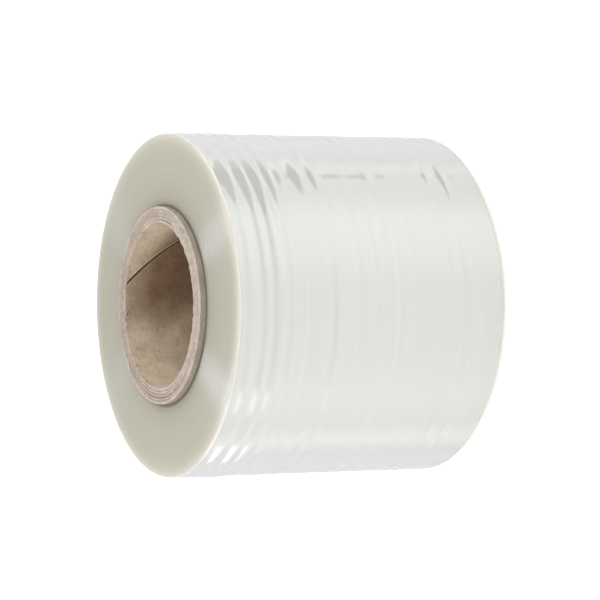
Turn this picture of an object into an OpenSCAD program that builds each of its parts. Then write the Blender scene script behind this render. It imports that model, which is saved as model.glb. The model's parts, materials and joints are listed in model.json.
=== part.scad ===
// A roll of clear lidding film, wound on a spiral paper core and standing on one end.
// The roll's axis is Z. The origin is on that axis, at the level the core stands on.
// One long web of film makes the wound body, so all its turns are one solid.

/* [Core] */
// Bore of the paper core, which a 76 mm (3 inch) shaft or chuck goes through
core_bore_d = 76.2; // [60:0.1:110]
// Wall of the core, all plies together
core_wall = 7.6; // [5:0.1:12]
// How far the core stands out past the film at each end
core_proud = 3; // [0.5:0.5:12]
// Number of board plies whose edges show on a cut end of the core
ply_count = 5; // [3:1:6]
// Depth of the glue line between two plies on a cut end
glue_line_depth = 0.35; // [0.1:0.05:0.8]
// Width of that glue line
glue_line_width = 0.4; // [0.2:0.05:0.6]
// Bevel that the saw leaves on the edges of a cut end
cut_bevel = 0.4; // [0.1:0.05:1]

/* [Spiral seams] */
// Gap between neighbouring turns of the innermost ply, square to the seam
seam_gap = 0.8; // [0.3:0.1:2]
// Depth of the seams, which is one thin ply
seam_depth = 0.6; // [0.2:0.1:1.2]
// Slope of the seams from a circle round the core
seam_slope = 41; // [25:1:65]
// Direction in which the inner seam comes out at the top end
seam_top_angle = 75; // [0:5:355]
// Direction in which the outer ply's seam comes out at the top end
outer_seam_top_angle = 200; // [0:5:355]

/* [Film] */
// Depth of film wound on the core
film_depth = 33.8; // [14:0.1:90]
// Width of the web of film
film_width = 135; // [60:1:300]
// Rounding where the side of the roll turns into its ends
film_corner = 1.2; // [0.4:0.1:3]
// Step down at the free edge, where the last turn ends
tail_step = 0.2; // [0.1:0.05:0.6]
// Height of a full hard band, where many slightly thick turns lie over each other
band_rise = 0.45; // [0.1:0.05:0.6]

/* [Turns on the ends] */
// Distance between the turns whose edges show as lines on an end
turn_pitch = 2.8; // [1.5:0.1:6]
// Width of a turn line
turn_line_width = 0.5; // [0.2:0.1:1]
// Depth of a turn line
turn_line_depth = 0.2; // [0.1:0.05:0.5]

/* [Hidden] */
$fn = 180;

core_bore_r = core_bore_d / 2;
core_r = core_bore_r + core_wall;
core_length = film_width + 2 * core_proud;
ply = core_wall / ply_count;

film_r = core_r + film_depth;
film_bottom = core_proud;
film_top = core_proud + film_width;
turn_count = floor(film_depth / turn_pitch);

// Distance between two points of the profile down the side of the roll
band_step = 1.25;
// Points round the quarter circle of a corner
corner_points = 6;
// How far a cutting shape runs past the surface that it cuts
overrun = 1;
// Most degrees that a seam turns between two of its slices
slice_turn = 6;
// Sides of a seam's section, which is a rectangle
seam_sides = 4;

// Hard bands: distance of the crest from the nearer edge of the web, width of its upper slope,
// width of its lower slope, and share of the full height. The web was slit from a wider one, so
// the bands crowd towards its edges, and their lower slopes are the steeper ones.
bands_from_top = [
    [7.8, 3.3, 1.4, 0.7], [15, 3.1, 1.1, 0.7], [21.8, 4.4, 1.6, 1], [28, 2.6, 1.3, 0.45],
    [33, 3, 2, 0.3], [43, 3.5, 2, 0.45], [50.3, 2.3, 1.5, 0.35], [62, 4, 4, 0.1]
];
bands_from_bottom = [
    [3.5, 2.2, 1.4, 0.12], [10.5, 2.2, 1.5, 0.17], [17.7, 2.6, 1.5, 0.42], [26, 2.2, 1.5, 0.25],
    [48, 2.5, 2.5, 0.15], [60, 3, 3, 0.12]
];

function total(values, i = 0) =
    i < len(values) ? values[i] + total(values, i + 1) : 0;

// Height of one band at a distance below its crest, which is negative above the crest
function band_height(band, below_crest) =
    band_rise * band[3] * exp(-pow(below_crest / (below_crest < 0 ? band[1] : band[2]), 2));

// Height of all the bands together at a distance below the upper edge of the web
function skin_height(below_top) =
    total([for (band = bands_from_top) band_height(band, below_top - band[0])])
    + total([for (band = bands_from_bottom) band_height(band, below_top - film_width + band[0])]);

// Points of one rounded corner of the wound film, from the angle on one face to the other
function corner(radius, level, first_angle) = [
    for (i = [0 : corner_points])
        let (angle = first_angle - 90 * i / corner_points)
            [radius + film_corner * (cos(angle) - 1), level + film_corner * sin(angle)]
];

// Outline of half a section through the wound film, with its side at the given radius.
// It reaches inside the core, which is cut away later.
function film_outline(radius) = concat(
    [[core_r - overrun, film_top]],
    corner(radius + skin_height(film_corner), film_top - film_corner, 90),
    [
        for (below_top = [film_corner + band_step : band_step : film_width - film_corner - band_step / 2])
            [radius + skin_height(below_top), film_top - below_top]
    ],
    corner(radius + skin_height(film_width - film_corner), film_bottom + film_corner, 0),
    [[core_r - overrun, film_bottom]]
);

// Sections of the turn lines on an end at height 0, counted inwards from the side
module turn_line_sections(radius) {
    slope = turn_line_width / 2 / turn_line_depth;
    for (line = [1 : 1 : turn_count - 1])
        translate([radius - line * turn_pitch, 0])
            polygon([
                [0, -turn_line_depth],
                [slope * (overrun + turn_line_depth), overrun],
                [-slope * (overrun + turn_line_depth), overrun]
            ]);
}

// Half a section through the wound film, with the turn lines cut into both ends
module film_section(radius) {
    difference() {
        polygon(film_outline(radius));
        translate([0, film_top])
            turn_line_sections(radius);
        translate([0, film_bottom])
            mirror([0, 1])
                turn_line_sections(radius);
    }
}

// Turns a section through half a circle, on the +X side or the -X side
module half_turn(plus_x) {
    rotate([0, 0, plus_x ? -90 : 90])
        rotate_extrude(angle = 180)
            children();
}

// The wound film, seated on the core. Its turns are a spiral drawn with two centres: the half
// on the -X side is larger by half a step, and its centre lies half a step towards +Y. At -Y
// each turn runs smoothly on, and at +Y it comes round one step further out. On the side
// that step is the free edge, where the web ends.
module film_roll() {
    color([0.88, 0.88, 0.86])
        difference() {
            union() {
                half_turn(plus_x = true)
                    film_section(film_r);
                translate([0, tail_step / 2, 0])
                    half_turn(plus_x = false)
                        film_section(film_r + tail_step / 2);
            }
            cylinder(h = core_length, r = core_r);
        }
}

// Outline of half a section through the core, with bevelled edges
module core_outline() {
    polygon([
        [core_bore_r + cut_bevel, 0],
        [core_r - cut_bevel, 0],
        [core_r, cut_bevel],
        [core_r, core_length - cut_bevel],
        [core_r - cut_bevel, core_length],
        [core_bore_r + cut_bevel, core_length],
        [core_bore_r, core_length - cut_bevel],
        [core_bore_r, cut_bevel]
    ]);
}

// Sections of the glue lines between the plies, on one cut end at height 0
module glue_line_sections() {
    for (line = [1 : 1 : ply_count - 1])
        translate([core_bore_r + line * ply, 0])
            polygon([
                [0, glue_line_depth],
                [-glue_line_width / 2, 0],
                [-glue_line_width / 2, -overrun],
                [glue_line_width / 2, -overrun],
                [glue_line_width / 2, 0]
            ]);
}

// The gap between two turns of a ply, wound up the whole core at the seam's slope.
// Its section spans the radii from inner_r to outer_r.
module seam(inner_r, outer_r, surface_r, top_angle) {
    rise_per_turn = 2 * PI * surface_r * tan(seam_slope);
    length = core_length + 2 * overrun;
    sweep = 360 * length / rise_per_turn;
    sweep_to_top = 360 * (core_length + overrun) / rise_per_turn;
    gap_on_circle = seam_gap / sin(seam_slope);
    translate([0, 0, -overrun])
        rotate([0, 0, top_angle - sweep_to_top])
            linear_extrude(
                height = length, twist = -sweep,
                slices = ceil(sweep / slice_turn), segments = seam_sides
            )
                translate([inner_r, -gap_on_circle / 2])
                    square([outer_r - inner_r, gap_on_circle]);
}

// The paper core: plies of board wound in a spiral and glued into one tube
module core() {
    color([0.73, 0.65, 0.57])
        difference() {
            rotate_extrude()
                difference() {
                    core_outline();
                    glue_line_sections();
                    translate([0, core_length])
                        mirror([0, 1])
                            glue_line_sections();
                }
            seam(core_bore_r - overrun, core_bore_r + seam_depth, core_bore_r, seam_top_angle);
            seam(core_r - seam_depth, core_r + overrun, core_r, outer_seam_top_angle);
        }
}

film_roll();
core();
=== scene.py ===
"""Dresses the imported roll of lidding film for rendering.

The roll stands on the cut end of its core, with its axis on +Z. The photograph shows such a
roll lying down, so the camera is turned a quarter turn about its view line: the roll's top
end is then at the left of the picture, and +X is up in it.

Two pieces are made here, each over its CAD solid: the wound film and the paper core.
"""

import json
import logging
import math
from dataclasses import dataclass
from enum import Enum

import bpy
import numpy as np
from mathutils import Matrix, Vector


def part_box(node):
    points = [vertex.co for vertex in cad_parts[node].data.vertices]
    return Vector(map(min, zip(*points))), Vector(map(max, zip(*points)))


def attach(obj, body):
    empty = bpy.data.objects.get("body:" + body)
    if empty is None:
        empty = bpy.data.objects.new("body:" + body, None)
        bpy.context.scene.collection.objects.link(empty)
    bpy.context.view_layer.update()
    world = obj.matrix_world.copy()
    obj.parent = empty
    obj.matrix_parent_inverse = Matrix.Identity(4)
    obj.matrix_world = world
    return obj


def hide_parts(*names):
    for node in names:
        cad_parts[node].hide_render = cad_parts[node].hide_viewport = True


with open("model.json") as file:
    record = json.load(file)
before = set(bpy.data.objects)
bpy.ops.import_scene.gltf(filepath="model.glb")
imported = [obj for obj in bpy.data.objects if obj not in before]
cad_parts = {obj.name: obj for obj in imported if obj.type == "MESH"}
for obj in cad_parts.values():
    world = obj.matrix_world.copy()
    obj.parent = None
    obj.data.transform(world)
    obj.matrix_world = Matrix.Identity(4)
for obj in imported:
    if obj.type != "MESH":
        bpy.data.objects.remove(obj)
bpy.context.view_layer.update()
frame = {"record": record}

log = logging.getLogger("lidding_film_roll")

MM = 0.001
TONE_ATTRIBUTE = "board_tone"


class Slot(Enum):
    """Material slots of the record."""

    FILM = "film"
    CORE_BOARD = "core_board"


class Section(Enum):
    """Stretches of a section through the film or the core, each with its own surface."""

    SEAT = "seat"
    END = "end"
    SIDE = "side"


def linear(hex_colour: str) -> tuple[float, float, float, float]:
    """Turn an sRGB colour into the linear colour that shaders take.

    Args:
        hex_colour: Six hex digits, such as "c8beb4".

    Returns:
        Linear red, green, blue and an alpha of 1.
    """
    channels = [int(hex_colour[i : i + 2], 16) / 255 for i in (0, 2, 4)]
    red, green, blue = (
        channel / 12.92 if channel <= 0.04045 else ((channel + 0.055) / 1.055) ** 2.4
        for channel in channels
    )
    return red, green, blue, 1.0


def add_node(
    tree: bpy.types.NodeTree,
    kind: str,
    inputs: dict | None = None,
    **settings: object,
) -> bpy.types.Node:
    """Add a node with its settings and links.

    Args:
        tree: The node tree that gets the node.
        kind: The node's type, such as "ShaderNodeMath".
        inputs: For each input's name or number, a value or the output socket that feeds it.
        **settings: The node's own properties, such as operation="ADD".

    Returns:
        The new node.
    """
    node = tree.nodes.new(kind)
    for name, value in settings.items():
        setattr(node, name, value)
    for key, value in (inputs or {}).items():
        if isinstance(value, bpy.types.NodeSocket):
            tree.links.new(value, node.inputs[key])
        else:
            node.inputs[key].default_value = value
    return node


def set_ramp(node: bpy.types.Node, stops: list[tuple[float, str]]) -> None:
    """Give a colour ramp its stops.

    Args:
        node: The colour ramp node.
        stops: Position and sRGB hex colour of each stop, in rising order.
    """
    elements = node.color_ramp.elements
    while len(elements) < len(stops):
        elements.new(1.0)
    for element, (position, colour) in zip(elements, stops):
        element.position = position
        element.color = linear(colour)


def new_material(name: str) -> tuple[bpy.types.Material, bpy.types.NodeTree]:
    """Make an empty node material.

    Args:
        name: The material's name.

    Returns:
        The material and its node tree, which holds no nodes.
    """
    material = bpy.data.materials.new(name)
    material.use_nodes = True
    material.node_tree.nodes.clear()
    return material, material.node_tree


def waves(angles: np.ndarray, orders: range, seed: int) -> np.ndarray:
    """Draw a smooth random curve round a full turn.

    Args:
        angles: Angles in radians.
        orders: How many waves a turn each of the summed sines has.
        seed: Seed of the random phases and weights.

    Returns:
        The curve at each angle, mostly between -1 and 1.
    """
    draw = np.random.default_rng(seed)
    curve = np.zeros_like(angles)
    for order in orders:
        curve += draw.normal() * np.sin(order * angles + draw.uniform(0, 2 * math.pi))
    return curve / math.sqrt(len(orders))


def skin_over_rings(
    name: str,
    rings: np.ndarray,
    sections: list[Section],
) -> bpy.types.Object:
    """Make a closed mesh object over a loop of rings.

    Args:
        name: Name of the object and its mesh.
        rings: Points of shape (rings, columns, 3) in metres. The last ring joins the first.
        sections: For each ring, the section that the faces up to the next ring belong to.

    Returns:
        The object. Its faces carry the number of their section as material index.
    """
    ring_count, column_count, _ = rings.shape
    numbers = np.arange(ring_count * column_count).reshape(ring_count, column_count)
    next_ring = np.roll(numbers, -1, axis=0)
    corners = (numbers, np.roll(numbers, -1, axis=1), np.roll(next_ring, -1, axis=1), next_ring)
    quads = np.stack(corners, axis=-1).reshape(-1, 4)
    mesh = bpy.data.meshes.new(name)
    mesh.from_pydata(rings.reshape(-1, 3).tolist(), [], quads.tolist())
    order = list(Section)
    index_of_ring = np.array([order.index(section) for section in sections])
    mesh.polygons.foreach_set("material_index", np.repeat(index_of_ring, column_count))
    mesh.polygons.foreach_set("use_smooth", np.ones(len(quads), dtype=bool))
    mesh.update()
    made = bpy.data.objects.new(name, mesh)
    bpy.context.scene.collection.objects.link(made)
    return made


@dataclass(frozen=True)
class WoundFilm:
    """Outer turns of a PET and PE laminate, wound tight.

    Film is clear, and each turn lets light through to the next, so a thick winding looks
    milky and near white. Its outer face is as smooth as it left the casting roll, so it
    mirrors the studio in soft streaks, which the winding's hard bands break up.

    Attributes:
        name: Name of the material.
        body, body_shade: Colours of the milky winding behind the outer face.
        roughness, ior: Of the winding under its outermost turn.
        coat_roughness: Roughness of the outermost turn.
        line_spacing, line_depth: Of the faint lines that the turns' edges press into the side.
        line_drift: How many times in a metre a line changes on its way round.
    """

    name: str = "wound_PET_PE_film"
    body: str = "aaaba6"
    body_shade: str = "a3a49e"
    roughness: float = 0.11
    ior: float = 1.65
    coat_roughness: float = 0.03
    line_spacing: float = 1.9 * MM
    line_depth: float = 0.006 * MM
    line_drift: float = 9.0

    def build(self) -> bpy.types.Material:
        """Build the material."""
        material, tree = new_material(self.name)
        place = add_node(tree, "ShaderNodeTexCoord")
        # Lines run round the roll, so the pattern is fine along Z and slow across X and Y.
        lines_place = add_node(
            tree,
            "ShaderNodeMapping",
            {
                "Vector": place.outputs["Object"],
                "Scale": (self.line_drift, self.line_drift, 1 / self.line_spacing),
            },
        )
        lines = add_node(
            tree,
            "ShaderNodeTexNoise",
            {"Vector": lines_place.outputs[0], "Scale": 1.0, "Detail": 3.0, "Roughness": 0.6},
        )
        bump = add_node(
            tree,
            "ShaderNodeBump",
            {"Height": lines.outputs["Fac"], "Strength": 1.0, "Distance": self.line_depth},
        )
        tint = add_node(
            tree,
            "ShaderNodeMix",
            {"Factor": lines.outputs["Fac"], 6: linear(self.body), 7: linear(self.body_shade)},
            data_type="RGBA",
        )
        shader = add_node(
            tree,
            "ShaderNodeBsdfPrincipled",
            {
                "Base Color": tint.outputs[2],
                "Roughness": self.roughness,
                "IOR": self.ior,
                "Coat Weight": 1.0,
                "Coat Roughness": self.coat_roughness,
                "Coat IOR": self.ior,
                "Normal": bump.outputs[0],
                "Coat Normal": bump.outputs[0],
            },
        )
        add_node(tree, "ShaderNodeOutputMaterial", {"Surface": shader.outputs[0]})
        return material


@dataclass(frozen=True)
class SlitEdges:
    """Both ends of the winding, which are the slit edges of hundreds of turns.

    Light is lost between the edges, so an end is darker and greener than the side. Its colour is
    painted paler towards the rim, a painted glow for the light that also comes in through the
    side, and darker next to the core, a painted shade. The edges are fine rings, and a light on
    them spreads into a streak that runs out from the core.

    Attributes:
        name: Name of the material.
        seat_radius, rim_radius: Radii between which the colours go.
        roughness, ior: Of the edges.
        anisotropy: How far a light spreads across the rings rather than along them.
        ring_spacing, ring_depth: Of groups of turns. The turns themselves are too fine to show.
        ring_drift: How many times in a metre a ring changes on its way round.
        ring_tone: Share by which the rings differ in colour.
        edge_lean: Slope by which the edges lean outwards.
        colours_with_painted_shade_and_glow: Colours from the core out to the rim, at shares of
            the way. They are darker by the core, a painted shade, and paler at the rim, a painted
            glow.
    """

    name: str = "slit_edges_of_PET_PE_film"
    seat_radius: float = 45.7 * MM
    rim_radius: float = 79.5 * MM
    roughness: float = 0.25
    ior: float = 1.6
    anisotropy: float = 1.0
    ring_spacing: float = 0.9 * MM
    ring_depth: float = 0.01 * MM
    ring_drift: float = 14.0
    ring_tone: float = 0.1
    edge_lean: float = 0.09
    # The colours darken next to the core, a painted shade, and pale towards the rim, a painted
    # glow.
    colours_with_painted_shade_and_glow: tuple[tuple[float, str], ...] = (
        (0.0, "8c8573"),
        (0.12, "9b9784"),
        (0.4, "a09e8c"),
        (0.76, "a4a290"),
        (0.87, "aca996"),
        (0.93, "b7b4a2"),
        (0.98, "bebcae"),
        (1.0, "c3c2b6"),
    )

    def build(self) -> bpy.types.Material:
        """Build the material."""
        material, tree = new_material(self.name)
        place = add_node(tree, "ShaderNodeTexCoord")
        flat = add_node(
            tree,
            "ShaderNodeVectorMath",
            {0: place.outputs["Object"], 1: (1, 1, 0)},
            operation="MULTIPLY",
        )
        radius = add_node(tree, "ShaderNodeVectorMath", {0: flat.outputs[0]}, operation="LENGTH")
        share = add_node(
            tree,
            "ShaderNodeMapRange",
            {
                "Value": radius.outputs["Value"],
                "From Min": self.seat_radius,
                "From Max": self.rim_radius,
            },
        )
        # This ramp paints shade next to the core and a glow towards the rim.
        colour = add_node(tree, "ShaderNodeValToRGB", {"Fac": share.outputs[0]})
        set_ramp(colour, list(self.colours_with_painted_shade_and_glow))
        # Rings follow the turns: the pattern is fine along the radius and slow round the roll.
        ring_number = add_node(
            tree,
            "ShaderNodeMath",
            {0: radius.outputs["Value"], 1: 1 / self.ring_spacing},
            operation="MULTIPLY",
        )
        drift = add_node(
            tree,
            "ShaderNodeTexNoise",
            {"Vector": place.outputs["Object"], "Scale": self.ring_drift},
        )
        ring_place = add_node(
            tree,
            "ShaderNodeCombineXYZ",
            {"X": ring_number.outputs[0], "Y": drift.outputs["Fac"]},
        )
        rings = add_node(
            tree,
            "ShaderNodeTexNoise",
            {"Vector": ring_place.outputs[0], "Scale": 1.0, "Detail": 3.0},
        )
        # The knife leaves each edge a little lower on its outer side, so they all lean outwards.
        lean = add_node(
            tree,
            "ShaderNodeMath",
            {0: radius.outputs["Value"], 1: -self.edge_lean / self.ring_depth},
            operation="MULTIPLY",
        )
        relief = add_node(tree, "ShaderNodeMath", {0: rings.outputs["Fac"], 1: lean.outputs[0]})
        bump = add_node(
            tree,
            "ShaderNodeBump",
            {"Height": relief.outputs[0], "Strength": 1.0, "Distance": self.ring_depth},
        )
        toned = add_node(
            tree,
            "ShaderNodeMix",
            {"Factor": self.ring_tone, 6: colour.outputs[0], 7: rings.outputs["Color"]},
            data_type="RGBA",
            blend_type="SOFT_LIGHT",
        )
        # Tangents run round the roll, and the quarter turn spreads a light across the rings.
        tangent = add_node(tree, "ShaderNodeTangent", direction_type="RADIAL", axis="Z")
        shader = add_node(
            tree,
            "ShaderNodeBsdfPrincipled",
            {
                "Base Color": toned.outputs[2],
                "Roughness": self.roughness,
                "IOR": self.ior,
                "Anisotropic": self.anisotropy,
                "Anisotropic Rotation": 0.25,
                "Tangent": tangent.outputs[0],
                "Normal": bump.outputs[0],
            },
        )
        add_node(tree, "ShaderNodeOutputMaterial", {"Surface": shader.outputs[0]})
        return material


@dataclass(frozen=True)
class KraftBoard:
    """Recycled board, wound in a spiral and glued, and sawn off at the ends.

    It is uncoated and matt, with short fibres in it of all shades from straw to grey. The
    defaults are those of the sawn ends.

    Attributes:
        name: Name of the material.
        pale, middle, dark: Shades of the fibres.
        roughness, specular: Of the uncoated surface.
        fibre_length, fibre_width: Of a tuft of fibres. One fibre is too fine to show.
        fibre_relief: How far the tufts stand out.
        mottle_size: Size of the cloudy patches.
        mottle_share: Share of the patches in the pattern, next to the fibres.
        glue_and_painted_shade, gap: What tints the board along glue lines and where shade is
            painted in the bore, and in an open gap.
    """

    name: str = "sawn_kraft_board"
    pale: str = "c5baad"
    middle: str = "b3a799"
    dark: str = "9c8f80"
    roughness: float = 0.92
    specular: float = 0.25
    fibre_length: float = 2.2 * MM
    fibre_width: float = 0.35 * MM
    fibre_relief: float = 0.09 * MM
    mottle_size: float = 9.0 * MM
    mottle_share: float = 0.35
    # Also the tint of the painted shade in the bore.
    glue_and_painted_shade: str = "a69486"
    gap: str = "281b12"

    def build(self) -> bpy.types.Material:
        """Build the material."""
        material, tree = new_material(self.name)
        place = add_node(tree, "ShaderNodeTexCoord")
        fibres_place = add_node(
            tree,
            "ShaderNodeMapping",
            {
                "Vector": place.outputs["Object"],
                "Scale": (1 / self.fibre_length, 1 / self.fibre_length, 1 / self.fibre_width),
            },
        )
        fibres = add_node(
            tree,
            "ShaderNodeTexNoise",
            {"Vector": fibres_place.outputs[0], "Scale": 1.0, "Detail": 5.0, "Roughness": 0.65},
        )
        mottle = add_node(
            tree,
            "ShaderNodeTexNoise",
            {"Vector": place.outputs["Object"], "Scale": 1 / self.mottle_size, "Detail": 2.0},
        )
        mixed = add_node(
            tree,
            "ShaderNodeMix",
            {"Factor": self.mottle_share, 2: fibres.outputs["Fac"], 3: mottle.outputs["Fac"]},
        )
        colour = add_node(tree, "ShaderNodeValToRGB", {"Fac": mixed.outputs[0]})
        set_ramp(colour, [(0.34, self.dark), (0.5, self.middle), (0.64, self.pale)])
        # Glue lines dry darker, the same tint paints shade in the bore beside the seam, and gaps
        # between plies are nearly black.
        tone = add_node(tree, "ShaderNodeAttribute", attribute_name=TONE_ATTRIBUTE)
        tint = add_node(tree, "ShaderNodeValToRGB", {"Fac": tone.outputs["Fac"]})
        set_ramp(tint, [(0.0, "ffffff"), (0.5, self.glue_and_painted_shade), (1.0, self.gap)])
        stained = add_node(
            tree,
            "ShaderNodeMix",
            {"Factor": 1.0, 6: colour.outputs[0], 7: tint.outputs[0]},
            data_type="RGBA",
            blend_type="MULTIPLY",
        )
        bump = add_node(
            tree,
            "ShaderNodeBump",
            {"Height": fibres.outputs["Fac"], "Strength": 0.8, "Distance": self.fibre_relief},
        )
        shader = add_node(
            tree,
            "ShaderNodeBsdfPrincipled",
            {
                "Base Color": stained.outputs[2],
                "Roughness": self.roughness,
                "Specular IOR Level": self.specular,
                "Normal": bump.outputs[0],
            },
        )
        add_node(tree, "ShaderNodeOutputMaterial", {"Surface": shader.outputs[0]})
        return material


@dataclass(frozen=True)
class Band:
    """A hard band round the winding, where many slightly thick turns lie over each other.

    Attributes:
        crest: Height of its crest above the surface that the roll stands on.
        above: Distance upwards from the crest to where it has fallen to about a third.
        below: The same downwards.
        rise: How far the crest stands out.
        seed: Seed of the way it changes round the roll.
    """

    crest: float
    above: float
    below: float
    rise: float
    seed: int

    def lift(self, height: float) -> float:
        """Give how far the band stands out at a height, on an average side of the roll."""
        width = self.above if height > self.crest else self.below
        return self.rise * math.exp(-(((height - self.crest) / width) ** 2))


@dataclass
class FilmWinding:
    """The wound film.

    Attributes:
        bottom, top: Heights of the two ends.
        seat: Radius of the seat on the core.
        reach: Radius of the side at the crest of its highest band.
        corner: Rounding between the side and the ends.
        corner_points: Number of points round that rounding.
        tail_step: Step at the free edge, on the +Y side.
        tail_face: Width over which the side steps down there.
        turn_pitch, line_depth: Distance and depth of the turns that show on the ends.
        lower_wrap: Angle round the lower corner from which it has the side's finish.
        columns: Number of columns of points round the roll.
        fine_step, coarse_step: Distance of two rows of points, near the ends and between.
        fine_stretch: How far from each end the rows are fine.
        uneven: Share by which a band's height changes round the roll.
    """

    bottom: float
    top: float
    seat: float
    reach: float
    corner: float = 1.2 * MM
    corner_points: int = 8
    tail_step: float = 0.2 * MM
    tail_face: float = 0.02 * MM
    turn_pitch: float = 2.8 * MM
    line_depth: float = 0.05 * MM
    lower_wrap: float = math.radians(20)
    columns: int = 330
    fine_step: float = 0.5 * MM
    coarse_step: float = 1.1 * MM
    fine_stretch: float = 34.0 * MM
    uneven: float = 0.18

    def bands(self) -> list[Band]:
        """List the hard bands, those near the top end first.

        They crowd towards the ends, because the web was slit from a wider one.
        """
        # Distance of the crest from the end, widths above and below it, and rise, in mm.
        from_top = (
            (7.8, 3.3, 1.4, 0.3),
            (15.0, 3.1, 1.1, 0.31),
            (21.8, 4.4, 1.6, 0.45),
            (28.0, 2.6, 1.3, 0.23),
            (33.0, 3.0, 2.0, 0.13),
            (43.0, 3.2, 2.2, 0.24),
            (50.3, 2.0, 2.3, 0.22),
            (62.0, 4.0, 4.0, 0.045),
        )
        from_bottom = (
            (3.5, 2.2, 1.4, 0.055),
            (10.5, 2.2, 1.5, 0.075),
            (17.7, 1.7, 1.5, 0.2),
            (26.0, 1.6, 1.5, 0.14),
            (48.0, 2.2, 1.8, 0.1),
            (57.5, 2.6, 1.8, 0.15),
        )
        high = [(self.top - place * MM, *sizes) for place, *sizes in from_top]
        low = [(self.bottom + place * MM, *sizes) for place, *sizes in from_bottom]
        return [
            Band(crest, above * MM, below * MM, rise * MM, seed)
            for seed, (crest, above, below, rise) in enumerate(high + low)
        ]

    @property
    def radius(self) -> float:
        """Radius of the side, without its bands."""
        bands = self.bands()
        return self.reach - max(sum(band.lift(place.crest) for band in bands) for place in bands)

    def row_heights(self) -> np.ndarray:
        """Give the heights of the rows of points on the side, which are closer near the ends."""
        low, high = self.bottom + self.corner, self.top - self.corner
        fine = self.fine_stretch
        stretches = [
            np.arange(low + self.fine_step, low + fine, self.fine_step),
            np.arange(low + fine, high - fine, self.coarse_step),
            np.arange(high - fine, high - self.fine_step / 2, self.fine_step),
        ]
        return np.concatenate(stretches)

    def angles(self) -> np.ndarray:
        """Give the columns' angles, from the free edge at +Y and round to just before it."""
        edge = math.pi / 2
        last = 2 * math.pi - self.tail_face / self.reach
        # The last column but one stands about a usual column's distance before the last one.
        return edge + np.append(np.linspace(0, last - 0.015, self.columns - 1), last)

    def spiral(self, angles: np.ndarray) -> np.ndarray:
        """Say how far the last turn lies out at each angle: a whole step after the free edge."""
        lift = self.tail_step / 2 * (1 + np.sin(angles))
        minus_x = np.cos(angles) <= 1e-9
        return np.where(minus_x, lift, 0.0)

    def section(self) -> list[tuple[float, float, Section, float]]:
        """List the section's points: radius, height, section and share of the bands there.

        Returns:
            The points from the seat's lower end outwards, up the side and back to the seat.
        """
        radius = self.radius
        # Two edges of a turn line with its bottom between them, and a point on to the next.
        offsets = np.array((-0.25, 0.0, 0.25, 1.4)) * MM
        dips = np.array((0.0, 1.0, 0.0, 0.1)) * self.line_depth
        lines = int((radius - self.seat) / self.turn_pitch) - 1
        flat = [(self.seat, 0.0)]
        for line in range(lines, 0, -1):
            for offset, dip in zip(offsets, dips):
                flat.append((radius - line * self.turn_pitch + offset, dip))
        inset = radius - self.corner
        clear_of_corner = inset - 0.2 * MM
        flat = [point for point in flat if point[0] < clear_of_corner]
        turns = np.radians(np.linspace(0, 90, self.corner_points))
        outwards = [(inset + self.corner * math.sin(turn), math.sin(turn)) for turn in turns]
        inwards = [self.corner * (1 - math.cos(turn)) for turn in turns]
        lower = [(r, self.bottom + dip, Section.END, 0.0) for r, dip in flat]
        upper = [(r, self.top - dip, Section.END, 0.0) for r, dip in flat]
        for turn, (r, share), depth in zip(turns, outwards, inwards):
            wrapped = Section.SIDE if turn > self.lower_wrap else Section.END
            lower.append((r, self.bottom + depth, wrapped, share))
            upper.append((r, self.top - depth, Section.END, share))
        side = [(radius, height, Section.SIDE, 1.0) for height in self.row_heights()]
        points = lower + side + upper[::-1]
        last_radius, last_height, _, last_share = points[-1]
        points[-1] = (last_radius, last_height, Section.SEAT, last_share)
        return points

    def rings(self) -> tuple[np.ndarray, list[Section]]:
        """Work out the rings of points that the skin goes over.

        Returns:
            The points, of shape (rings, columns, 3), and each ring's section.
        """
        angles = self.angles()
        section = self.section()
        spiral = self.spiral(angles)
        rings = np.zeros((len(section), len(angles), 3))
        bands = self.bands()
        rounds = [1 + self.uneven * waves(angles, range(1, 7), band.seed) for band in bands]
        for ring, (radius, height, _, share) in zip(rings, section):
            lift = sum(band.lift(height) * change for band, change in zip(bands, rounds))
            reach = radius + share * (lift + spiral)
            ring[:, 0] = reach * np.cos(angles)
            ring[:, 1] = reach * np.sin(angles)
            ring[:, 2] = height
        return rings, [point[2] for point in section]

    def build(self) -> bpy.types.Object:
        """Build the winding over its CAD solid.

        Returns:
            The piece, dressed and riding on the roll.
        """
        rings, sections = self.rings()
        made = skin_over_rings("film_winding", rings, sections)
        side = WoundFilm().build()
        ends = SlitEdges(seat_radius=self.seat, rim_radius=self.radius).build()
        by_section = {Section.SEAT: ends, Section.END: ends, Section.SIDE: side}
        for section in Section:
            made.data.materials.append(by_section[section])
        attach(made, "root")
        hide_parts("film_roll")
        return made


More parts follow.
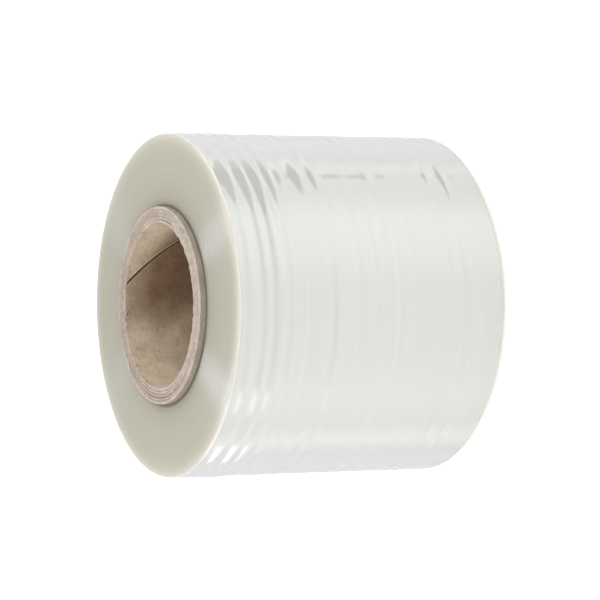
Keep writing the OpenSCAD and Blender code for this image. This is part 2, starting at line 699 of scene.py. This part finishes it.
@dataclass
class BoardCore:
    """The spiral-wound paper core.

    Attributes:
        bore: Radius of the bore.
        outside: Radius of the outside.
        length: Length from cut end to cut end.
        plies: Number of plies whose edges show on the cut ends.
        glue_line_depth: Depth of the lines between the plies.
        seam_gap, seam_depth: Gap between two turns of the inner ply, square to it, and depth.
        seam_wall: Width over which the seam's sides go down.
        seam_slope: Slope of the seams in degrees.
        seam_top_angle: Direction in which the inner seam comes out at the top end, in degrees.
        inner_bevel, outer_bevel: Distances from the bore or the outside and depths below the
            cut end of the points on its edges.
        ply_unevenness: How much lower than the others a ply may be cut.
        inner_ply_drop: How much lower than that the innermost ply is cut.
        ply_points: Where the points on a ply's edge lie, as shares of its thickness.
        inner_tear, ply_tear: How far the innermost ply's edge is torn, and the other plies'.
        columns: Number of evenly spread columns of points.
        row_step: Distance of two rows of points in the bore.
        bore_margin: Distance of the first row in the bore from a cut end.
        bore_wave: How far the bore is out of round.
        straight: Length at each end of the outside over which no column follows the seams.
        outer_rows: Number of rows of points between those lengths.
        painted_shade_depth: Distance from a cut end at which the painted shade beside the seam
            spreads furthest.
        painted_shade_at_end: Angle past the seam that the painted shade reaches at a cut end, in
            degrees.
        painted_shade_growth: What further in comes to that angle.
        painted_shade_before: Angle before the seam that the painted shade reaches, further in.
    """

    bore: float
    outside: float
    length: float
    plies: int = 5
    glue_line_depth: float = 0.3 * MM
    seam_gap: float = 0.8 * MM
    seam_depth: float = 0.6 * MM
    seam_wall: float = 0.08 * MM
    seam_slope: float = 41.0
    seam_top_angle: float = 75.0
    inner_bevel: tuple[tuple[float, float], ...] = ((0.0, 0.45 * MM), (0.12 * MM, 0.2 * MM))
    outer_bevel: tuple[tuple[float, float], ...] = ((0.1 * MM, 0.12 * MM), (0.0, 0.35 * MM))
    ply_unevenness: float = 0.14 * MM
    inner_ply_drop: float = 0.12 * MM
    ply_points: tuple[float, ...] = (0.18, 0.4, 0.62, 0.82)
    inner_tear: float = 0.2 * MM
    ply_tear: float = 0.05 * MM
    columns: int = 400
    row_step: float = 1.6 * MM
    bore_margin: float = 0.8 * MM
    bore_wave: float = 0.03 * MM
    straight: float = 3.0 * MM
    outer_rows: int = 60
    painted_shade_depth: float = 35.0 * MM
    painted_shade_at_end: float = 30.0
    painted_shade_growth: float = 60.0
    painted_shade_before: float = 50.0

    @property
    def half_seam(self) -> float:
        """Half the angle that the inner seam's gap takes up in the bore, in radians."""
        return self.seam_gap / math.sin(math.radians(self.seam_slope)) / self.bore / 2

    def column_angles(self) -> np.ndarray:
        """Give the columns' angles from the inner seam, with some more at the seam's edges."""
        half = self.half_seam
        wall = self.seam_wall / self.bore
        extra = [-half - wall, -half, -half + wall, 0.0, half - wall, half, half + wall]
        even = np.linspace(0, 2 * math.pi, self.columns, endpoint=False)
        clear = even[(even > 2 * half) & (even < 2 * math.pi - 2 * half)]
        return np.sort(np.concatenate([extra, clear]))

    def slot_share(self, columns: np.ndarray) -> np.ndarray:
        """Say how deep each column lies in the seam, from 0 outside it to 1 in it."""
        return (np.abs(columns) < self.half_seam * 0.999).astype(float)

    def turn(self, height: np.ndarray | float) -> np.ndarray | float:
        """Give the angle that the inner seam has turned through at a height, in radians."""
        rise = 2 * math.pi * self.bore * math.tan(math.radians(self.seam_slope))
        return math.radians(self.seam_top_angle) - 2 * math.pi * (self.length - height) / rise

    def end_section(self, seed: int) -> list[tuple[float, float, int]]:
        """List the points across a cut end, from the bore outwards.

        Args:
            seed: Seed of the plies' heights.

        Returns:
            Radius, depth below the end's level and number of the ply, for each point.
        """
        draw = np.random.default_rng(seed)
        ply = (self.outside - self.bore) / self.plies
        points = [(self.bore + inwards, depth, 0) for inwards, depth in self.inner_bevel]
        for number in range(self.plies):
            inner = self.bore + number * ply
            level = draw.uniform(0.0, self.ply_unevenness)
            if number == 0:
                level += self.inner_ply_drop
            for offset in self.ply_points:
                points.append((inner + offset * ply, level, number))
            if number < self.plies - 1:
                points.append((inner + ply, level + self.glue_line_depth, number))
        last = self.plies - 1
        points += [(self.outside - inwards, depth, last) for inwards, depth in self.outer_bevel]
        return points

    def rings(self) -> tuple[np.ndarray, list[Section]]:
        """Work out the rings of points that the skin goes over.

        Returns:
            The points, of shape (rings, columns, 3), and each ring's section.
        """
        columns = self.column_angles()
        slot = self.slot_share(columns)
        seam_floor = self.bore + self.seam_depth
        rings = []
        sections = []

        def add_ring(
            radius: np.ndarray | float,
            height: np.ndarray | float,
            level: float,
            part: Section,
        ) -> None:
            """Add one ring of points at a radius and height, turned as the seam is at a level."""
            angles = columns + self.turn(level)
            radius = radius + np.zeros_like(angles)
            height = height + np.zeros_like(angles)
            points = [radius * np.cos(angles), radius * np.sin(angles), height]
            rings.append(np.stack(points, axis=-1))
            sections.append(part)

        def ragged(number: int, seed: int) -> np.ndarray:
            """Give the uneven height of a ply's cut edge round the roll."""
            torn = waves(columns, range(8, 90), seed + number)
            return (self.ply_tear if number else self.inner_tear) * torn

        def in_slot(radius: float) -> np.ndarray:
            """Give a radius round the roll, which is larger where the seam cuts into it."""
            return radius + np.where(radius < seam_floor, slot * (seam_floor - radius), 0)

        for radius, depth, number in self.end_section(seed=11):
            height = np.maximum(depth + ragged(number, 40), 0)
            add_ring(in_slot(radius), height, 0.0, Section.END)
        low, high = self.straight, self.length - self.straight
        add_ring(self.outside, low, 0.0, Section.SEAT)
        for height in np.linspace(low, high, self.outer_rows):
            add_ring(self.outside, height, height, Section.SEAT)
        add_ring(self.outside, high + 0.01 * MM, self.length, Section.SEAT)
        for radius, depth, number in reversed(self.end_section(seed=12)):
            height = np.minimum(self.length - depth + ragged(number, 60), self.length)
            add_ring(in_slot(radius), height, self.length, Section.END)
        margin = self.bore_margin
        rows = int((self.length - 2 * margin) / self.row_step)
        for height in np.linspace(self.length - margin, margin, rows):
            # The waves turn with the height, by 60 radians in a metre.
            wave = self.bore_wave * waves(columns + height * 60, range(3, 16), 7)
            add_ring(self.bore + wave + slot * self.seam_depth, height, height, Section.SIDE)
        return np.array(rings), sections

    def seam_painted_shade(self, rings: np.ndarray) -> np.ndarray:
        """Say how much shade is painted onto the bore's face below the inner seam.

        Args:
            rings: The rings of points.

        Returns:
            Shares from 0 to 1, of shape (rings, columns).
        """
        columns = self.column_angles()
        inward = self.length / 2 - np.abs(rings[:, :, 2] - self.length / 2)
        deep = np.clip(inward / self.painted_shade_depth, 0, 1)
        spread = math.radians(self.painted_shade_at_end) + math.radians(self.painted_shade_growth) * deep
        spread *= 1 + 0.04 * waves(columns, range(3, 12), 21)
        # Past the seam the painted shade fades from 0.6 to 1.2 of the way, and is weaker at a cut
        # end.
        past = np.clip((1.2 - columns / spread) / 0.6, 0, 1) * (columns > 0)
        past = past**2 * (3 - 2 * past) * (0.3 + 0.7 * np.clip(2.5 * deep, 0, 1))
        # Before the seam it fades evenly, and stays clear of the cut ends.
        before = np.clip(1 - (2 * math.pi - columns) / math.radians(self.painted_shade_before), 0, 1)
        return past + before * np.clip(3 * deep - 0.4, 0, 1)

    def end_tones(self, rings: np.ndarray) -> np.ndarray:
        """Say how dark the cut ends are, which is darkest where a glue line has opened.

        The innermost ply has come loose for a short way near +X, and the third line has opened on
        the -X side. Elsewhere the lines are closed, and show only faintly. The inner edge is torn
        in places, and on the +Y side the board is painted a little darker and greyer, as painted
        shade.

        Args:
            rings: The rings of points.

        Returns:
            Shares from 0 to 1, of shape (rings, columns).
        """
        turn = np.arctan2(rings[:, :, 1], rings[:, :, 0])
        around = np.degrees(turn)
        radius = np.hypot(rings[:, :, 0], rings[:, :, 1])
        number = (radius - self.bore) * self.plies / (self.outside - self.bore)
        line = np.round(number)
        on_line = (np.abs(number - line) < 0.05) & (line >= 1) & (line < self.plies)
        # Near -14 degrees the first line is wide open for 10 degrees, and shuts over 24.
        loose = np.clip(1.4 - np.abs(around + 14) / 12, 0, 1) * (line == 1)
        # Round 165 degrees the third line is open for 72 degrees, and shuts over 120.
        opened = np.clip(1.6 - np.abs((around + 15) % 360 - 180) / 60, 0, 1) * (line == 3) * 0.75
        closed = 0.28 + 0.22 * np.cos(np.radians(around - 105))
        closed = closed + 0.1 * waves(turn, range(3, 12), 33)
        shades = np.random.default_rng(35).uniform(0.0, 0.1, self.plies)
        shade = shades[np.clip(number, 0, self.plies - 1).astype(int)]
        # Painted shade: the board is darker on the +Y side.
        shade += 0.07 * np.clip(np.sin(turn), 0, 1)
        torn = np.clip(waves(turn, range(14, 80), 38) - 0.7, 0, 1) * (number < 0.15)
        lines = np.maximum(closed, np.maximum(loose, opened))
        return np.where(on_line, lines, shade + 0.7 * torn)

    def tones(self, rings: np.ndarray, sections: list[Section]) -> np.ndarray:
        """Work out how dark the board is at each point.

        Args:
            rings: The rings of points.
            sections: For each ring, its section.

        Returns:
            Tones of shape (rings, columns): 0 is clean board, 0.5 the glue tint, which also
                paints shade in the bore, 1 a gap.
        """
        in_bore = np.array([section is Section.SIDE for section in sections])[:, None]
        on_end = np.array([section is Section.END for section in sections])[:, None]
        columns = self.column_angles()
        # The gap looks as wide as in the photograph when a little more than its floor is dark.
        seam = ((columns > -0.012) & (columns < 0.018)) * in_bore
        # Painted shade on the bore's face below the inner seam, darker further in.
        glue_and_painted_shade = 0.5 * self.seam_painted_shade(rings) * in_bore
        return np.maximum.reduce([glue_and_painted_shade, self.end_tones(rings) * on_end, seam])

    def build(self) -> bpy.types.Object:
        """Build the core over its CAD solid.

        Returns:
            The piece, dressed and riding on the roll.
        """
        rings, sections = self.rings()
        made = skin_over_rings("paper_core", rings, sections)
        tone = made.data.attributes.new(TONE_ATTRIBUTE, "FLOAT", "POINT")
        tone.data.foreach_set("value", self.tones(rings, sections).astype(np.float32).ravel())
        sawn = KraftBoard().build()
        # The bore's face is smooth board, browner than its sawn ends.
        smooth = KraftBoard(
            name="kraft_board_face",
            pale="cbbca8",
            middle="baa993",
            dark="9c8870",
        ).build()
        # The outermost ply's wall, which stands out of the film at each end, gets darker, greyer
        # colours as painted shade.
        outer = KraftBoard(
            name="kraft_board_outer_ply_painted_shade",
            pale="a29a90",
            middle="938b80",
            dark="7f766a",
        ).build()
        by_section = {Section.SEAT: outer, Section.END: sawn, Section.SIDE: smooth}
        for section in Section:
            made.data.materials.append(by_section[section])
        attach(made, "root")
        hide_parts("core")
        return made


class Effect(Enum):
    """What a patch of the surroundings does to the light that is already there."""

    ADDS = "adds"
    TAKES = "takes"


@dataclass(frozen=True)
class Patch:
    """A soft-edged patch of the studio that surrounds the roll.

    Attributes:
        bearing: Direction of its middle round the roll in degrees, 0 at the photograph's
            side and 90 at +X, which is up in the photograph.
        height: Height of its middle above the horizon in degrees.
        half_bearing, half_height: Half its size each way in degrees.
        side_edge: Width over which its left and right sides fade, in degrees.
        strength: Radiance that it adds, or the share of the light that it takes.
        level_edge: Width over which its top and bottom fade.
        widen: Degrees by which half_bearing grows for each degree upwards.
        tint: Colour of the light that it adds.
        effect: Whether it adds light or takes it.
    """

    bearing: float
    height: float
    half_bearing: float
    half_height: float
    side_edge: float
    strength: float
    level_edge: float = 6.0
    widen: float = 0.0
    tint: str = "ffffff"
    effect: Effect = Effect.ADDS

    def window(
        self,
        tree: bpy.types.NodeTree,
        bearing: bpy.types.NodeSocket,
        height: bpy.types.NodeSocket,
    ) -> bpy.types.NodeSocket:
        """Work out where in the surroundings the patch is.

        Args:
            tree: The world's node tree.
            bearing: Direction round the roll in radians.
            height: Height above the horizon in radians.

        Returns:
            A socket that is 1 inside the patch and 0 outside it.
        """
        apart = add_node(
            tree,
            "ShaderNodeMath",
            {0: bearing, 1: math.radians(self.bearing)},
            operation="SUBTRACT",
        )
        wrapped = add_node(
            tree,
            "ShaderNodeMath",
            {0: apart.outputs[0], 1: math.pi, 2: -math.pi},
            operation="WRAP",
        )
        aside = add_node(tree, "ShaderNodeMath", {0: wrapped.outputs[0]}, operation="ABSOLUTE")
        above = add_node(
            tree,
            "ShaderNodeMath",
            {0: height, 1: math.radians(self.height)},
            operation="SUBTRACT",
        )
        over = add_node(
            tree,
            "ShaderNodeMath",
            {0: above.outputs[0], 1: -self.widen, 2: aside.outputs[0]},
            operation="MULTIPLY_ADD",
        )
        away = add_node(tree, "ShaderNodeMath", {0: above.outputs[0]}, operation="ABSOLUTE")
        insides = []
        sides = (over, self.half_bearing, self.side_edge)
        levels = (away, self.half_height, self.level_edge)
        for distance, half, edge in (sides, levels):
            inside = add_node(
                tree,
                "ShaderNodeMapRange",
                {
                    "Value": distance.outputs[0],
                    "From Min": math.radians(half - edge / 2),
                    "From Max": math.radians(half + edge / 2),
                    "To Min": 1.0,
                    "To Max": 0.0,
                },
                interpolation_type="SMOOTHSTEP",
            )
            insides.append(inside.outputs[0])
        both = add_node(tree, "ShaderNodeMath", dict(enumerate(insides)), operation="MULTIPLY")
        return both.outputs[0]


@dataclass(frozen=True)
class Studio:
    """The floor, and the surroundings that light the roll.

    The surroundings are a pale room with softboxes and dark flags. The floor is a table lit
    from below, so the roll throws no shadow on it. It is left out of reflections, so that
    the side of the roll mirrors the softboxes.

    Attributes:
        room: Radiance of the room between the softboxes, above the horizon.
        below: The same below the horizon, which only reflections see.
        horizon: Heights in degrees between which the one passes into the other.
        backdrop: Radiance of the plain backdrop behind the floor, as the camera sees it.
        floor_colour: Colour of the floor.
        floor_glow: Radiance of the floor, which is a table lit from below.
        floor_half: Half the floor's width.
        patches: The softboxes and flags, which take light from the softboxes before them.
    """

    room: float = 0.77
    below: float = 0.0
    horizon: tuple[float, float] = (-6.0, 2.0)
    backdrop: float = 1.2
    floor_colour: str = "fcfcfb"
    floor_glow: float = 0.3
    floor_half: float = 6.0
    patches: tuple[Patch, ...] = (
        # What the side mirrors on the camera's side of the roll, brighter in two places
        Patch(bearing=0, height=-45, half_bearing=110, half_height=45, side_edge=5, strength=1.4),
        Patch(
            bearing=-5,
            height=-47,
            half_bearing=75,
            half_height=28.5,
            side_edge=40,
            strength=0.6,
            level_edge=4,
        ),
        Patch(
            bearing=46,
            height=-47,
            half_bearing=22,
            half_height=28.5,
            side_edge=30,
            strength=0.4,
            level_edge=4,
        ),
        # Flag that the bands mirror as grey wedges, and a thin dark bar below it
        Patch(
            bearing=95,
            height=-17,
            half_bearing=34,
            half_height=9.3,
            side_edge=1.5,
            strength=0.85,
            level_edge=1.5,
            widen=3.6,
            effect=Effect.TAKES,
        ),
        Patch(
            bearing=96,
            height=-27.4,
            half_bearing=2,
            half_height=0.75,
            side_edge=2,
            strength=0.7,
            level_edge=0.3,
            effect=Effect.TAKES,
        ),
        # Faint softbox before the flag, which makes the wedges fade upwards in the picture
        Patch(
            bearing=107,
            height=-17,
            half_bearing=6,
            half_height=8.2,
            side_edge=6,
            strength=0.4,
            level_edge=1.5,
        ),
        # What the side mirrors behind the roll, with a flag that darkens its middle
        Patch(
            bearing=180,
            height=-45,
            half_bearing=70,
            half_height=45,
            side_edge=5,
            strength=1.12,
            tint="fafaff",
        ),
        Patch(
            bearing=-106,
            height=-45,
            half_bearing=11,
            half_height=45,
            side_edge=8,
            strength=0.25,
        ),
        Patch(
            bearing=180,
            height=-45,
            half_bearing=40,
            half_height=49,
            side_edge=50,
            strength=0.24,
            effect=Effect.TAKES,
        ),
        # Softboxes above the horizon, which light the roll from both sides and the front
        Patch(bearing=90, height=22, half_bearing=26, half_height=10, side_edge=8, strength=5.0),
        Patch(bearing=-90, height=20, half_bearing=24, half_height=8, side_edge=6, strength=6.4),
        Patch(bearing=0, height=35, half_bearing=40, half_height=12, side_edge=8, strength=2.1),
        # Low softboxes that the bands mirror as white glints
        Patch(
            bearing=-66,
            height=-11,
            half_bearing=8,
            half_height=8.3,
            side_edge=8,
            strength=1.5,
            level_edge=1.5,
        ),
        Patch(
            bearing=-116,
            height=-12,
            half_bearing=10,
            half_height=9.7,
            side_edge=8,
            strength=1.4,
            level_edge=1.2,
        ),
        # Narrow lamps behind the roll, which draw a streak each on its upper end
        Patch(
            bearing=164.2,
            height=50,
            half_bearing=3.5,
            half_height=4,
            side_edge=2,
            strength=26.0,
            tint="dcdcff",
        ),
        Patch(
            bearing=-163.5,
            height=49,
            half_bearing=1.2,
            half_height=4,
            side_edge=1,
            strength=85.0,
            tint="dcdcff",
        ),
    )

    def build_floor(self) -> None:
        """Lay the floor under the roll."""
        half = self.floor_half
        corners = [(-half, -half, 0), (half, -half, 0), (half, half, 0), (-half, half, 0)]
        mesh = bpy.data.meshes.new("studio_floor")
        mesh.from_pydata(corners, [], [(0, 1, 2, 3)])
        floor = bpy.data.objects.new("studio_floor", mesh)
        bpy.context.scene.collection.objects.link(floor)
        floor.visible_glossy = False
        material, tree = new_material("white_light_table")
        shader = add_node(
            tree,
            "ShaderNodeBsdfPrincipled",
            {
                "Base Color": linear(self.floor_colour),
                "Roughness": 0.9,
                "Specular IOR Level": 0.0,
                "Emission Color": linear(self.floor_colour),
                "Emission Strength": self.floor_glow,
            },
        )
        add_node(tree, "ShaderNodeOutputMaterial", {"Surface": shader.outputs[0]})
        mesh.materials.append(material)

    def build_surroundings(self) -> None:
        """Make the world that lights the roll, from the room and the patches."""
        world = bpy.data.worlds.new("studio")
        bpy.context.scene.world = world
        world.use_nodes = True
        tree = world.node_tree
        tree.nodes.clear()
        place = add_node(tree, "ShaderNodeTexCoord")
        axes = add_node(tree, "ShaderNodeSeparateXYZ", {0: place.outputs["Generated"]})
        toward = add_node(
            tree,
            "ShaderNodeMath",
            {0: axes.outputs["Y"], 1: -1.0},
            operation="MULTIPLY",
        )
        bearing = add_node(
            tree,
            "ShaderNodeMath",
            {0: axes.outputs["X"], 1: toward.outputs[0]},
            operation="ARCTAN2",
        )
        height = add_node(tree, "ShaderNodeMath", {0: axes.outputs["Z"]}, operation="ARCSINE")
        light = add_node(
            tree,
            "ShaderNodeMapRange",
            {
                "Value": height.outputs[0],
                "From Min": math.radians(self.horizon[0]),
                "From Max": math.radians(self.horizon[1]),
                "To Min": self.below,
                "To Max": self.room,
            },
        ).outputs[0]
        for patch in self.patches:
            window = patch.window(tree, bearing.outputs[0], height.outputs[0])
            if patch.effect is Effect.ADDS:
                radiance = [patch.strength * channel for channel in linear(patch.tint)[:3]]
                light = add_node(
                    tree,
                    "ShaderNodeVectorMath",
                    {0: window, 1: radiance, 2: light},
                    operation="MULTIPLY_ADD",
                ).outputs[0]
            else:
                kept = add_node(
                    tree,
                    "ShaderNodeMath",
                    {0: window, 1: -patch.strength, 2: 1.0},
                    operation="MULTIPLY_ADD",
                )
                light = add_node(
                    tree,
                    "ShaderNodeVectorMath",
                    {0: light, 1: kept.outputs[0]},
                    operation="MULTIPLY",
                ).outputs[0]
        path = add_node(tree, "ShaderNodeLightPath")
        backdrop = (self.backdrop, self.backdrop, self.backdrop, 1.0)
        seen = add_node(
            tree,
            "ShaderNodeMix",
            {"Factor": path.outputs["Is Camera Ray"], 6: light, 7: backdrop},
            data_type="RGBA",
        )
        background = add_node(tree, "ShaderNodeBackground", {"Color": seen.outputs[2]})
        add_node(tree, "ShaderNodeOutputWorld", {"Surface": background.outputs[0]})


@dataclass(frozen=True)
class PhotoView:
    """The photograph's view of the roll.

    Attributes:
        focal_length: Focal length in millimetres for a sensor 36 mm wide.
        distance: Distance from the camera to the point that it looks at.
        elevation: Height of the camera above that point in degrees.
        bearing: Turn about Z in degrees, 0 looking along +Y.
        roll: Turn about the view line in degrees, which lays the roll down in the picture.
        aim: The point that it looks at.
    """

    focal_length: float = 189.2
    distance: float = 1.4881
    elevation: float = 26.88
    bearing: float = -0.085
    roll: float = -90.49
    aim: tuple[float, float, float] = (0.00196, 0.0, 0.06747)

    def build(self) -> bpy.types.Object:
        """Build the camera and make it the scene's.

        Returns:
            The camera.
        """
        data = bpy.data.cameras.new("photo_view")
        data.sensor_width = 36.0
        data.lens = self.focal_length
        data.clip_end = 50.0
        camera = bpy.data.objects.new("photo_view", data)
        bpy.context.scene.collection.objects.link(camera)
        turned = (
            Matrix.Rotation(math.radians(self.bearing), 4, "Z")
            @ Matrix.Rotation(math.radians(90 - self.elevation), 4, "X")
            @ Matrix.Rotation(math.radians(self.roll), 4, "Z")
        )
        back = turned.to_3x3() @ Vector((0, 0, self.distance))
        camera.matrix_world = Matrix.Translation(Vector(self.aim) + back) @ turned
        bpy.context.scene.camera = camera
        return camera


def main() -> None:
    """Build the view, the studio and the two pieces of the roll."""
    logging.basicConfig(level=logging.INFO, format="%(name)s: %(message)s")
    scene = bpy.context.scene
    scene.view_settings.view_transform = "Standard"
    scene.view_settings.look = "None"
    PhotoView().build()
    studio = Studio()
    studio.build_floor()
    studio.build_surroundings()

    film_low, film_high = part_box("film_roll")
    core_low, core_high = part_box("core")
    mounts = {mount["name"]: mount for mount in frame["record"]["mounts"]}
    bore = mounts["core_bore"]["dims"]["r_mm"] * MM
    film = FilmWinding(bottom=film_low.z, top=film_high.z, seat=core_high.x, reach=film_high.x)
    core = BoardCore(bore=bore, outside=core_high.x, length=core_high.z)
    for piece in (film.build(), core.build()):
        log.info("%s: %d faces", piece.name, len(piece.data.polygons))


if __name__ == "__main__":
    main()
